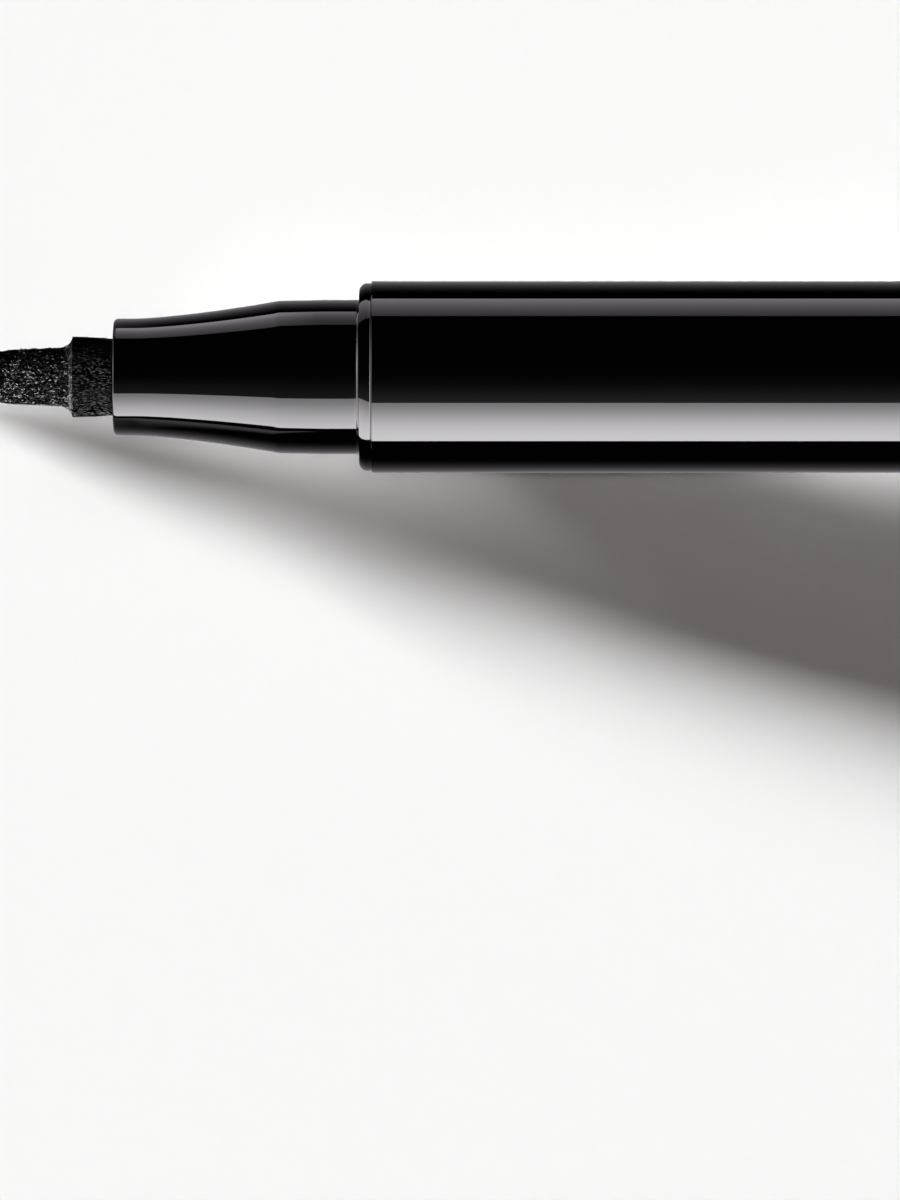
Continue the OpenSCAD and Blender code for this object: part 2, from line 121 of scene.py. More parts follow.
def new_object(name, vertices, faces):
    mesh = bpy.data.meshes.new(name)
    mesh.from_pydata([tuple(v) for v in vertices], [], faces)
    mesh.validate()
    mesh.update()
    piece = bpy.data.objects.new(name, mesh)
    bpy.context.scene.collection.objects.link(piece)
    return piece


def lathe(name, profile, segments=256, crease=32):
    """A solid turned about the pen's axis from a closed loop of [x, r] points.
    The loop starts and ends on the axis, or is a ring that stays clear of it."""
    vertices = []
    faces = []
    rings = []
    for x, r in profile:
        if r < ON_AXIS:
            rings.append([len(vertices)])
            vertices.append((x, 0, AXIS_Z))
        else:
            ring = []
            for k in range(segments):
                a = 2 * math.pi * k / segments
                ring.append(len(vertices))
                vertices.append((x, r * math.sin(a), AXIS_Z + r * math.cos(a)))
            rings.append(ring)
    for i in range(len(rings)):
        one = rings[i]
        two = rings[(i + 1) % len(rings)]
        if len(one) == 1 and len(two) == 1:
            continue
        for k in range(segments):
            n = (k + 1) % segments
            if len(one) == 1:
                faces.append((one[0], two[k], two[n]))
            elif len(two) == 1:
                faces.append((one[k], two[0], one[n]))
            else:
                faces.append((one[k], two[k], two[n], one[n]))
    piece = new_object(name, vertices, faces)
    finish_mesh(piece, crease)
    return piece


def finish_mesh(piece, crease):
    """Outward faces, smooth shading with creases, and normals that keep the flat stretches flat."""
    bm = bmesh.new()
    bm.from_mesh(piece.data)
    bmesh.ops.recalc_face_normals(bm, faces=bm.faces)
    bm.to_mesh(piece.data)
    bm.free()
    piece.data.shade_smooth()
    piece.data.set_sharp_from_angle(angle=math.radians(crease))
    weighted = piece.modifiers.new("weighted normals", "WEIGHTED_NORMAL")
    weighted.keep_sharp = True


def dress(piece, body, slot, material, *nodes):
    """Gives a piece its material and its body, and hides the nodes that it stands for. Its slot is not used.
    """
    piece.visible_diffuse = material not in (GLOSS, RING_GLOSS)
    piece.data.materials.clear()
    piece.data.materials.append(material)
    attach(piece, body)
    if nodes:
        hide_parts(*nodes)
    return piece


# Materials

def new_material(name):
    material = bpy.data.materials.new(name)
    material.use_nodes = True
    tree = material.node_tree
    shader = tree.nodes["Principled BSDF"]
    return material, tree, shader


def object_coordinates(tree, scale):
    place = tree.nodes.new("ShaderNodeTexCoord")
    mapping = tree.nodes.new("ShaderNodeMapping")
    mapping.inputs["Scale"].default_value = scale
    tree.links.new(place.outputs["Object"], mapping.inputs["Vector"])
    return mapping.outputs["Vector"]


def noise_value(tree, vector, scale, detail=2.0, roughness=0.5):
    node = tree.nodes.new("ShaderNodeTexNoise")
    node.inputs["Scale"].default_value = scale
    node.inputs["Detail"].default_value = detail
    node.inputs["Roughness"].default_value = roughness
    tree.links.new(vector, node.inputs["Vector"])
    return node.outputs["Fac"]


def spread(tree, value, low, high, from_low=0.3, from_high=0.7):
    node = tree.nodes.new("ShaderNodeMapRange")
    node.inputs["From Min"].default_value = from_low
    node.inputs["From Max"].default_value = from_high
    node.inputs["To Min"].default_value = low
    node.inputs["To Max"].default_value = high
    tree.links.new(value, node.inputs["Value"])
    return node.outputs["Result"]


def blend_colours(tree, value, one, two):
    node = tree.nodes.new("ShaderNodeMix")
    node.data_type = "RGBA"
    node.inputs["A"].default_value = (*one, 1)
    node.inputs["B"].default_value = (*two, 1)
    tree.links.new(value, node.inputs["Factor"])
    return node.outputs["Result"]


def add_bump(tree, shader, height, distance, strength=1.0, before=None):
    node = tree.nodes.new("ShaderNodeBump")
    node.inputs["Distance"].default_value = distance
    node.inputs["Strength"].default_value = strength
    tree.links.new(height, node.inputs["Height"])
    if before is not None:
        tree.links.new(before, node.inputs["Normal"])
    tree.links.new(node.outputs["Normal"], shader.inputs["Normal"])
    return node.outputs["Normal"]


LACQUER_IOR = 1.5


def lacquer(name, colour, polish, ripple):
    """Piano-black moulded gloss: near black, with a faint ripple, polishing haze and fine hairlines."""
    material, tree, shader = new_material(name)
    wide = object_coordinates(tree, (120, 400, 400))
    fine = object_coordinates(tree, (900, 9000, 9000))
    tint = noise_value(tree, wide, 1.0, 3)
    tree.links.new(blend_colours(tree, tint, colour, [c * 1.6 for c in colour]), shader.inputs["Base Color"])
    haze = noise_value(tree, fine, 1.0, 3, 0.6)
    tree.links.new(spread(tree, haze, polish * 0.7, polish * 1.4), shader.inputs["Roughness"])
    shader.inputs["IOR"].default_value = LACQUER_IOR
    wave = add_bump(tree, shader, noise_value(tree, wide, 1.0, 2), ripple)
    add_bump(tree, shader, haze, ripple * 0.03, before=wave)
    return material


def moulded(name, colour, rough, grain):
    """Plain moulded plastic with a soft cloud of colour, uneven gloss and fine moulding grain."""
    material, tree, shader = new_material(name)
    wide = object_coordinates(tree, (300, 300, 300))
    fine = object_coordinates(tree, (6000, 6000, 6000))
    tint = noise_value(tree, wide, 1.0, 3)
    tree.links.new(blend_colours(tree, tint, [c * 0.9 for c in colour], colour), shader.inputs["Base Color"])
    speck = noise_value(tree, fine, 1.0, 2)
    tree.links.new(spread(tree, speck, rough * 0.85, min(1, rough * 1.15)), shader.inputs["Roughness"])
    add_bump(tree, shader, speck, grain)
    return material


def cloudy(name, colour, rough, grain):
    """Moulded plastic that lets a little light into its surface."""
    material = moulded(name, colour, rough, grain)
    shader = material.node_tree.nodes["Principled BSDF"]
    shader.inputs["Subsurface Weight"].default_value = 0.15
    shader.inputs["Subsurface Radius"].default_value = (0.4, 0.35, 0.3)
    shader.inputs["Subsurface Scale"].default_value = 1 * MM
    return material


def drawn_metal(name, colour, rough, stretch):
    """Steel with fine drawing lines or polishing marks."""
    material, tree, shader = new_material(name)
    fine = object_coordinates(tree, stretch)
    lines = noise_value(tree, fine, 1.0, 3, 0.6)
    tint = blend_colours(tree, lines, [c * 0.85 for c in colour], colour)
    tree.links.new(tint, shader.inputs["Base Color"])
    tree.links.new(spread(tree, lines, rough * 0.6, rough * 1.5), shader.inputs["Roughness"])
    shader.inputs["Metallic"].default_value = 1.0
    add_bump(tree, shader, lines, 0.001 * MM)
    return material


def felt(name, dark, pale, stretch, depth, rough, gloss_ior):
    """Bonded fibre damp with ink: matted colour, glints from a fine fibre bump."""
    material, tree, shader = new_material(name)
    fibres = object_coordinates(tree, stretch)
    matted = object_coordinates(tree, [s * 0.3 for s in stretch])
    clump = noise_value(tree, matted, 1.0, 3)
    strand = noise_value(tree, fibres, 1.0, 3, 0.6)
    tint = blend_colours(tree, spread(tree, clump, 0, 1, 0.4, 0.7), dark, pale)
    tree.links.new(tint, shader.inputs["Base Color"])
    tree.links.new(spread(tree, strand, rough * 0.7, rough * 1.4), shader.inputs["Roughness"])
    shader.inputs["IOR"].default_value = gloss_ior
    add_bump(tree, shader, strand, depth)
    return material


GLOSS = lacquer("gloss black lacquer", (0.0004, 0.0004, 0.0004), 0.03, 0.0012 * MM)
RING_GLOSS = lacquer("ring gloss black", (0.0005, 0.0005, 0.0005), 0.035, 0.0008 * MM)
FELT = felt("damp black felt", (0.0003, 0.0003, 0.0003), (0.0008, 0.0008, 0.0008),
            (9000, 16000, 16000), 0.014 * MM, 0.3, 1.06)
# The loose fibres are smooth and refract strongly, which gives the nib its glints
FIBRE_DARK = (0.0005, 0.0005, 0.0005)
FIBRE_PALE = (0.001, 0.001, 0.001)
FIBRE_STRETCH = (8000, 14000, 14000)
FIBRE_DEPTH = 0.001 * MM
STRAND = felt("black felt strands", FIBRE_DARK, FIBRE_PALE, FIBRE_STRETCH, FIBRE_DEPTH, 0.09, 1.7)
GRAIN = felt("wet felt grains", FIBRE_DARK, FIBRE_PALE, FIBRE_STRETCH, FIBRE_DEPTH, 0.07, 3.0)
WICK = felt("ink stained wick", (0.03, 0.03, 0.034), (0.09, 0.09, 0.1),
            (900, 12000, 12000), 0.02 * MM, 0.7, 1.45)
NATURAL = moulded("natural moulded plastic", (0.72, 0.72, 0.7), 0.42, 0.0006 * MM)
TANK = cloudy("cloudy tank plastic", (0.6, 0.61, 0.6), 0.3, 0.0006 * MM)
RUBBER = moulded("seal rubber", (0.04, 0.04, 0.04), 0.62, 0.001 * MM)
SATIN = moulded("satin black plastic", (0.02, 0.02, 0.02), 0.38, 0.0006 * MM)
WHITE = cloudy("soft white plastic", (0.78, 0.78, 0.76), 0.34, 0.0005 * MM)
BALL = drawn_metal("polished ball steel", (0.6, 0.6, 0.6), 0.09, (3000, 3000, 3000))
WIRE = drawn_metal("drawn spring wire", (0.5, 0.5, 0.5), 0.22, (9000, 1200, 1200))


# The pen

NECK_LEN = 1.2 * MM
SEAT_LEN = 4.4 * MM
LIP_R = 0.27 * MM
# Length of the lip's bright line, and the tilts that its ends are shaded with, in degrees
LIP_LIT = 0.06 * MM
LIP_TILT = (-55, -22)
# Fine raised edge at the nose's foot, an arc between two angles from upright, in degrees
FOOT_X = SHOULDER_X - 0.085 * MM
FOOT_LEN = 0.08 * MM
FOOT_FRONT = 33
FOOT_REAR = 15
FOOT_ROUND = FOOT_LEN / (math.sin(math.radians(FOOT_FRONT)) - math.sin(math.radians(FOOT_REAR)))
# Step from the seat down to the foot under the ring, and the open width of a parting line
FOOT_SINK = 0.03 * MM
SEAM_GAP = 0.005 * MM
FLARE_STEPS = 24
FLARE_POWER = 1.4
COLLECTOR_BORE_R = SPIGOT_R - 0.74 * MM
HOLDER_BORE_R = NIB_BORE_R + 0.6 * MM
HOLDER_X = NOSE_X + 5.1 * MM


def nose_section():
    """Front section: round lip, neck that flares to the cap's seat, fine raised foot, and the spigot."""
    neck_x = NOSE_X + NECK_LEN
    seat_x = SHOULDER_X - SEAT_LEN
    flare = []
    for i in range(FLARE_STEPS + 1):
        t = i / FLARE_STEPS
        r = NOSE_FRONT_R + (SEAT_FRONT_R - NOSE_FRONT_R) * t ** FLARE_POWER
        flare.append((neck_x + (seat_x - neck_x) * t, r))
    mouth = 0.12 * MM
    fins_x = BARREL_X + LEAD
    under_r = SEAT_R - FOOT_SINK - FIT_CLEAR
    profile = [(NOSE_X + mouth, NIB_BORE_R), (NOSE_X, NIB_BORE_R + mouth)]
    profile += arc(NOSE_X + LIP_R, NOSE_FRONT_R - LIP_R, LIP_R, 180, 90)
    profile += flare
    centre_x = FOOT_X + FOOT_ROUND * math.sin(math.radians(FOOT_REAR))
    centre_r = SEAT_R - FOOT_ROUND * math.cos(math.radians(FOOT_FRONT))
    profile += [(SHOULDER_X - 2 * MM, SEAT_R)]
    profile += arc(centre_x, centre_r, FOOT_ROUND, 90 + FOOT_FRONT, 90 + FOOT_REAR, 4)
    profile += [(FOOT_X + SEAM_GAP, under_r), (BARREL_X, under_r), (BARREL_X, SPIGOT_R)]
    profile += bead(SPIGOT_END_X - SNAP_PLACE, SPIGOT_R, SNAP_RISE, SNAP_LEN)
    profile += [(SPIGOT_END_X - LEAD, SPIGOT_R), (SPIGOT_END_X, SPIGOT_R - LEAD),
                (SPIGOT_END_X, COLLECTOR_BORE_R), (fins_x, COLLECTOR_BORE_R), (fins_x, HOLDER_BORE_R),
                (HOLDER_X, HOLDER_BORE_R), (HOLDER_X, NIB_BORE_R)]
    piece = lathe("nose_section_gloss", profile, crease=20)
    shade(piece, [(NOSE_X, NOSE_X + LIP_LIT, *LIP_TILT),
                  (NOSE_X + LIP_LIT, NOSE_X + LIP_R + 0.01 * MM, 0, 0)])
    return piece


# Least part of a corner's normal that points away from the axis, for the corner to be an outside one
OUTSIDE = 0.1


def shade(piece, stretches, front_r=None):
    """Leads the reflections on stretches of a turned piece, each given as [x, x, degrees, degrees]: its
    normals tilt towards the tail by the angles. With a front radius, the first stretch shows its bands as
    a cone from that radius would."""
    mesh = piece.data
    shaded = piece.evaluated_get(bpy.context.evaluated_depsgraph_get()).to_mesh()
    normals = [Vector(corner.vector) for corner in shaded.corner_normals]
    piece.modifiers.clear()
    for corner, loop in enumerate(mesh.loops):
        x, y, z = mesh.vertices[loop.vertex_index].co
        out = Vector((0, y, z - AXIS_Z)).normalized()
        for low, high, tilt_low, tilt_high in stretches:
            if low <= x <= high and normals[corner].dot(out) > OUTSIDE:
                share = (x - low) / (high - low)
                tilt = math.radians(tilt_low + (tilt_high - tilt_low) * share)
                if front_r and low == stretches[0][0]:
                    cone_r = front_r + (RING_R - front_r) * share
                    out = as_cone(out, math.hypot(y, z - AXIS_Z) / cone_r)
                normals[corner] = out * math.cos(tilt) + Vector((math.sin(tilt), 0, 0))
    mesh.normals_split_custom_set(normals)


# Places across, as shares of the radius, where the turn has faded out and where it is full
CONE_FADES_FAR = (0.9, 0.6)
CONE_FADES_NEAR = (0.66, 0.3)
STEEPEST = 0.99


def as_cone(out, swell):
    """Turns a radial direction about the pen's axis, fully near the top and less towards the silhouettes."""
    fades = CONE_FADES_FAR if out.y > 0 else CONE_FADES_NEAR
    share = min(1, max(0, (fades[0] - abs(out.y)) / (fades[0] - fades[1])))
    side = max(-STEEPEST, min(STEEPEST, out.y * (1 + (swell - 1) * share)))
    return Vector((0, side, math.copysign(math.sqrt(1 - side * side), out.z)))


RING_CORNER = 0.46 * MM
RING_REAR = 0.13 * MM
RING_REAR_X = BARREL_X - 0.09 * MM
RING_REAR_TILT = (11, 16)
RING_SEAM_DEPTH = 0.1 * MM


def shoulder_ring():
    """Ring between nose and barrel: hollow foot, round front corner, small rear round at the parting."""
    foot_r = SEAT_R - FOOT_SINK
    foot_x = FOOT_X + 0.035 * MM
    cove = 0.03 * MM
    front_x = SHOULDER_X - 0.03 * MM
    nudge = 0.001 * MM
    seam_x = BARREL_X - 0.0055 * MM
    profile = [(BARREL_X - SEAM_GAP, foot_r), (foot_x, foot_r)]
    profile += arc(front_x - cove, SEAT_R + cove, cove, -60, 0, 4)
    profile += arc(front_x + RING_CORNER, RING_R - RING_CORNER, RING_CORNER, 180, 90, 20)
    profile += arc(RING_REAR_X, RING_R - RING_REAR, RING_REAR, 90, 50, 10)
    profile += [(BARREL_X - SEAM_GAP, RING_R - RING_SEAM_DEPTH)]
    piece = lathe("shoulder_ring_gloss", profile)
    shade(piece, [(front_x, RING_REAR_X - nudge, 0, 0),
                  (RING_REAR_X + nudge, seam_x, *RING_REAR_TILT)], SEAT_R)
    return piece


BARREL_EDGE_TILT = -26


def barrel():
    """Straight glossy tube with small round edges and the snap grooves inside."""
    edge = 0.04 * MM
    lengths = 12
    profile = [(BARREL_X, BORE_R)]
    profile += arc(BARREL_X + edge, BARREL_R - edge, edge, 180, 90, 8)
    profile += [(BARREL_X + (BARREL_END_X - BARREL_X) * i / lengths, BARREL_R) for i in range(1, lengths)]
    profile += arc(BARREL_END_X - edge, BARREL_R - edge, edge, 90, 0, 8)
    profile += [(BARREL_END_X, BORE_R)]
    profile += reversed(bead(BARREL_END_X - TAIL_SNAP_PLACE, BORE_R, GROOVE_DEPTH, GROOVE_LEN))
    profile += reversed(bead(SPIGOT_END_X - SNAP_PLACE, BORE_R, GROOVE_DEPTH, GROOVE_LEN))
    piece = lathe("barrel_gloss", profile)
    shade(piece, [(BARREL_X, BARREL_X + edge, BARREL_EDGE_TILT, 0)])
    return piece


def tail_plug():
    """Tail plug: rounded rear edge, moulding dimple, and the spigot in the barrel."""
    edge = 0.1 * MM
    corner = 0.8 * MM
    spigot_x = TAIL_LOW.x
    inner_r = SPIGOT_R - 0.9 * MM
    dimple_r = 0.7 * MM
    dimple = 0.15 * MM
    profile = [(BARREL_END_X, 0), (BARREL_END_X, inner_r), (spigot_x, inner_r),
               (spigot_x, SPIGOT_R - LEAD), (spigot_x + LEAD, SPIGOT_R)]
    profile += bead(spigot_x + SNAP_PLACE, SPIGOT_R, SNAP_RISE, SNAP_LEN)
    profile += [(BARREL_END_X, SPIGOT_R)]
    profile += arc(BARREL_END_X + edge, BARREL_R - edge, edge, 180, 90, 8)
    profile += arc(TAIL_X - corner, BARREL_R - corner, corner, 90, 0, 16)
    profile += arc(TAIL_X - dimple, dimple_r, dimple, 0, -90, 6)
    profile += [(TAIL_X - dimple, 0)]
    return lathe("tail_plug_gloss", profile)


# The felt nib

STEP_LEN = 0.82 * MM
COLLAR_LEN = 2.25 * MM
STEM_LEN = 2.1 * MM
TIP_R = 0.2 * MM
OGIVE_R = 5 * MM
STEM_FRONT_R = NIB_STEM_R - 0.09 * MM
COLLAR_X = NOSE_X - COLLAR_LEN
STEM_X = COLLAR_X - STEP_LEN
POINT_X = STEM_X - STEM_LEN
WICK_BORE_R = 1.02 * MM
WICK_BORE_LEN = 3 * MM
SHARPEST_R = 0.02 * MM
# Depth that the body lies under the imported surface, which leaves room for its relief and its fibres
FELT_DEPTH = 0.045 * MM
FELT_FULL_R = 0.6 * MM
# Rim of the collar: how much denser its fibres lie, and how far before and behind the edge
RIM_FUZZ = 6
RIM_REACH = 0.18 * MM
RIM_BEHIND = 0.04 * MM


def nib_radius(x):
    """Radius of the nib's outside at a station along the pen."""
    if x >= NOSE_X:
        return NIB_ROOT_R
    if x >= COLLAR_X:
        return NIB_COLLAR_R - FELT_DEPTH + (NIB_ROOT_R - NIB_COLLAR_R) * ((x - COLLAR_X) / COLLAR_LEN) ** 2
    if x >= STEM_X:
        t = min(1, (x - STEM_X) / STEP_LEN)
        return NIB_STEM_R - FELT_DEPTH + (NIB_COLLAR_R - NIB_STEM_R) * (1 - math.sqrt(1 - t * t))
    if x >= POINT_X:
        return STEM_FRONT_R - FELT_DEPTH + (NIB_STEM_R - STEM_FRONT_R) * (x - POINT_X) / STEM_LEN
    gap_x = POINT_X - (NIB_TIP_X + TIP_R)
    gap_r = OGIVE_R - STEM_FRONT_R
    cone = math.asin((OGIVE_R + TIP_R) / math.hypot(gap_x, gap_r)) - math.atan2(gap_r, gap_x)
    ogive_x = POINT_X - OGIVE_R * math.sin(cone)
    tip_x = NIB_TIP_X + TIP_R - TIP_R * math.sin(cone)
    if x >= ogive_x:
        r = STEM_FRONT_R - OGIVE_R + math.sqrt(max(0, OGIVE_R ** 2 - (x - POINT_X) ** 2))
    elif x >= tip_x:
        r = TIP_R * math.cos(cone) + (x - tip_x) * math.tan(cone)
    else:
        r = math.sqrt(max(0, TIP_R ** 2 - (x - NIB_TIP_X - TIP_R) ** 2))
    return max(SHARPEST_R, r - FELT_DEPTH * min(1, r / FELT_FULL_R))


def at_rim(x):
    """Whether a station lies on the collar's front edge, where the fibres stand across."""
    return -RIM_BEHIND < COLLAR_X - x < RIM_REACH


# Relief of the felt, on the stem and on the collar: waves per metre along and across, and their height
RELIEF_ALONG = (8200, 6500)
RELIEF_ACROSS = (9500, 15000)
RELIEF_HEIGHT = (0.05 * MM, 0.014 * MM)
# The finer of its two noises: how much finer along and across, its shift, and the share of each
FINE_ALONG = 2.1
FINE_ACROSS = 1.6
FINE_SHIFT = 7
COARSE_SHARE = 0.75
FINE_SHARE = 0.4


def felt_height(x, y, z):
    """Matted fibre relief of the felt, finer and more lengthwise on the collar than on the stem."""
    kind = 1 if x > COLLAR_X else 0
    along = RELIEF_ALONG[kind]
    across = RELIEF_ACROSS[kind]
    a = noise.noise(Vector((x * along, y * across, z * across)))
    b = noise.noise(Vector((x * along * FINE_ALONG + FINE_SHIFT, y * across * FINE_ACROSS,
                            z * across * FINE_ACROSS)))
    relief = COARSE_SHARE * a + FINE_SHARE * b
    return relief * RELIEF_HEIGHT[kind]


# Stations of the felt's mesh. They stand closer together round the collar's front
FELT_STEP = 0.042 * MM
FELT_CLOSER = 0.45
FELT_SEGMENTS = 288
FELT_CALM_R = 0.5 * MM


def felt_nib():
    """The nib as one turned felt body with a real matted relief on all that shows."""
    segments = FELT_SEGMENTS
    stations = []
    x = NIB_TIP_X + 0.012 * MM
    while x < NOSE_X + 0.3 * MM:
        stations.append(x)
        x += FELT_STEP * (FELT_CLOSER if STEM_X < x < COLLAR_X + 0.1 * MM else 1)
    vertices = [(NIB_TIP_X + 0.004 * MM, 0, AXIS_Z)]
    for x in stations:
        r0 = nib_radius(x)
        for k in range(segments):
            a = 2 * math.pi * k / segments
            y, z = r0 * math.sin(a), r0 * math.cos(a)
            r = r0 + (felt_height(x, y, z) * min(1, r0 / FELT_CALM_R) if x < NOSE_X else 0)
            vertices.append((x, r * math.sin(a), AXIS_Z + r * math.cos(a)))
    bore_end_x = NIB_BACK_X - WICK_BORE_LEN
    for x, r in ((NIB_BACK_X, NIB_ROOT_R), (NIB_BACK_X, WICK_BORE_R), (bore_end_x, WICK_BORE_R)):
        for k in range(segments):
            a = 2 * math.pi * k / segments
            vertices.append((x, r * math.sin(a), AXIS_Z + r * math.cos(a)))
    rings = len(stations) + 3
    faces = []
    for k in range(segments):
        n = (k + 1) % segments
        faces.append((0, 1 + n, 1 + k))
        for i in range(rings - 1):
            a = 1 + i * segments
            b = a + segments
            faces.append((a + k, a + n, b + n, b + k))
    last = 1 + (rings - 1) * segments
    vertices.append((bore_end_x, 0, AXIS_Z))
    for k in range(segments):
        faces.append((last + k, last + (k + 1) % segments, len(vertices) - 1))
    piece = new_object("felt_nib_body", vertices, faces)
    finish_mesh(piece, 50)
    return piece


# A strand's size varies by these factors, it bends by this angle, and it lies this high, in its thicknesses
STRAND_SPREAD = (0.6, 1.4)
STRAND_BEND = 0.25
STRAND_LIFT = ((-0.5, 1.0), (-0.9, 0.5))
# How far its ends sink, and how much thinner they are, per square of the place along it
STRAND_SINK = 2
STRAND_TAPER = 2.2
STRAND_TURN = 0.4
LEAST_TURN_R = 0.2 * MM


def felt_strands(name, count, seed, back_x, thick, length, turn):
    """Loose surface fibres of the nib: short bent strands, half sunk in the felt. Thickness, length, turn
    and lift have one value for the stem and one for the collar."""
    rng = np.random.default_rng(seed)
    xs = np.linspace(NIB_TIP_X + 0.15 * MM, back_x, 400)
    area = np.array([nib_radius(x) * (1 + RIM_FUZZ * at_rim(x)) for x in xs])
    pick = rng.choice(len(xs), size=count, p=area / area.sum())
    vertices = []
    faces = []
    sides = 5
    rings = 4
    for i in pick:
        x0 = xs[i] + rng.uniform(-0.5, 0.5) * (xs[1] - xs[0])
        around = rng.uniform(0, 2 * math.pi)
        kind = 1 if x0 > COLLAR_X else 0
        lean = rng.normal(math.pi / 2 if at_rim(x0) else 0, turn[kind])
        reach = rng.uniform(*STRAND_SPREAD) * length[kind]
        width_0 = rng.uniform(*STRAND_SPREAD) * thick[kind]
        bend = rng.normal(0, STRAND_BEND)
        lift = rng.uniform(*STRAND_LIFT[kind]) * width_0
        base = len(vertices)
        for j in range(rings):
            t = j / (rings - 1) - 0.5
            angle = lean + bend * t
            x = x0 + t * reach * math.cos(angle)
            x = min(max(x, NIB_TIP_X + 0.05 * MM), NOSE_X - 0.01 * MM)
            r0 = nib_radius(x)
            turn_r = max(r0, LEAST_TURN_R)
            a = around + t * reach * math.sin(angle) / turn_r
            relief = felt_height(x, r0 * math.sin(a), r0 * math.cos(a))
            r = r0 + relief + lift - width_0 * STRAND_SINK * t * t
            width = width_0 * (1 - STRAND_TAPER * t * t)
            for k in range(sides):
                b = 2 * math.pi * k / sides + STRAND_TURN
                rr = r + width * math.cos(b)
                side = width * math.sin(b)
                aa = a + side * math.cos(angle) / turn_r
                vertices.append((x - side * math.sin(angle), rr * math.sin(aa), AXIS_Z + rr * math.cos(aa)))
        for j in range(rings - 1):
            for k in range(sides):
                n = (k + 1) % sides
                a = base + j * sides
                faces.append((a + k, a + n, a + sides + n, a + sides + k))
        faces.append(tuple(base + k for k in reversed(range(sides))))
        faces.append(tuple(base + (rings - 1) * sides + k for k in range(sides)))
    piece = new_object(name, vertices, faces)
    piece.data.shade_smooth()
    return piece


# The cap, whose stations count from its mouth towards its closed end

def in_cap(points):
    return [(CAP_HIGH.x - u, r) for u, r in points]


CAP_LEN = CAP_HIGH.x - CAP_LOW.x
LINER_FRONT = CAP_HIGH.x - LINER_HIGH.x
LINER_BACK = CAP_HIGH.x - LINER_LOW.x
LINER_R = CAP_BORE_R - FIT_CLEAR
LINER_BORE_R = LINER_R - 0.565 * MM
INNER_R = LINER_BORE_R - 0.05 * MM
BOSS_R = 2.2 * MM
BOSS_LEN = 2 * MM


def cap_shell():
    """Glossy outer shell of the cap, with its boss for the spring and the liner's groove."""
    mouth = 0.25 * MM
    chamfer = 0.3 * MM
    corner = 0.9 * MM
    lengths = 8
    end = CAP_LEN - 1.6 * MM
    boss_end = end - BOSS_LEN
    profile = [(0, CAP_BORE_R + chamfer)]
    profile += arc(mouth, BARREL_R - mouth, mouth, 180, 90)
    profile += [(mouth + (CAP_LEN - corner - mouth) * i / lengths, BARREL_R) for i in range(1, lengths)]
    profile += arc(CAP_LEN - corner, BARREL_R - corner, corner, 90, 0, 16)
    profile += [(CAP_LEN, 0), (boss_end, 0), (boss_end, BOSS_R), (end, BOSS_R), (end, CAP_BORE_R)]
    profile += reversed(bead(LINER_FRONT + SNAP_PLACE, CAP_BORE_R, GROOVE_DEPTH, GROOVE_LEN))
    profile += [(chamfer, CAP_BORE_R)]
    return lathe("cap_shell_gloss", in_cap(profile))


def cap_liner():
    """Satin sleeve pressed into the cap."""
    edge = 0.06 * MM
    profile = [(LINER_FRONT, LINER_BORE_R + edge), (LINER_FRONT, LINER_R - LEAD),
               (LINER_FRONT + LEAD, LINER_R)]
    profile += bead(LINER_FRONT + SNAP_PLACE, LINER_R, SNAP_RISE, SNAP_LEN)
    profile += [(LINER_BACK, LINER_R), (LINER_BACK, LINER_BORE_R), (LINER_FRONT + edge, LINER_BORE_R)]
    return lathe("cap_liner_satin", in_cap(profile), 192)


def inner_cap():
    """Soft white inner cap with its sealing lip, chamber, flange and guide boss."""
    lip = CAP_HIGH.x - INNER_HIGH.x
    back = CAP_HIGH.x - INNER_LOW.x - BOSS_LEN
    seat = lip + 1.3 * MM
    flange = back - 1.2 * MM
    chamber = back - 0.9 * MM
    lip_r = INNER_R - 0.39 * MM
    chamber_r = INNER_R - 0.79 * MM
    flange_r = CAP_BORE_R - 0.05 * MM
    edge = 0.1 * MM
    boss_round = 0.3 * MM
    chamber_round = 0.4 * MM
    profile = [(lip + edge, lip_r)]
    profile += arc(lip + edge, lip_r + edge, edge, 270, 180, 6)[1:]
    profile += arc(lip + edge, INNER_R - edge, edge, 180, 90, 6)
    profile += [(flange, INNER_R), (flange, flange_r), (back, flange_r), (back, BOSS_R)]
    profile += arc(back + BOSS_LEN - boss_round, BOSS_R - boss_round, boss_round, 90, 0, 6)
    profile += [(back + BOSS_LEN, 0), (chamber, 0)]
    profile += arc(chamber - chamber_round, chamber_r - chamber_round, chamber_round, 0, 90, 6)
    profile += [(seat, chamber_r), (seat, lip_r)]
    return lathe("inner_cap_soft", in_cap(profile), 192)


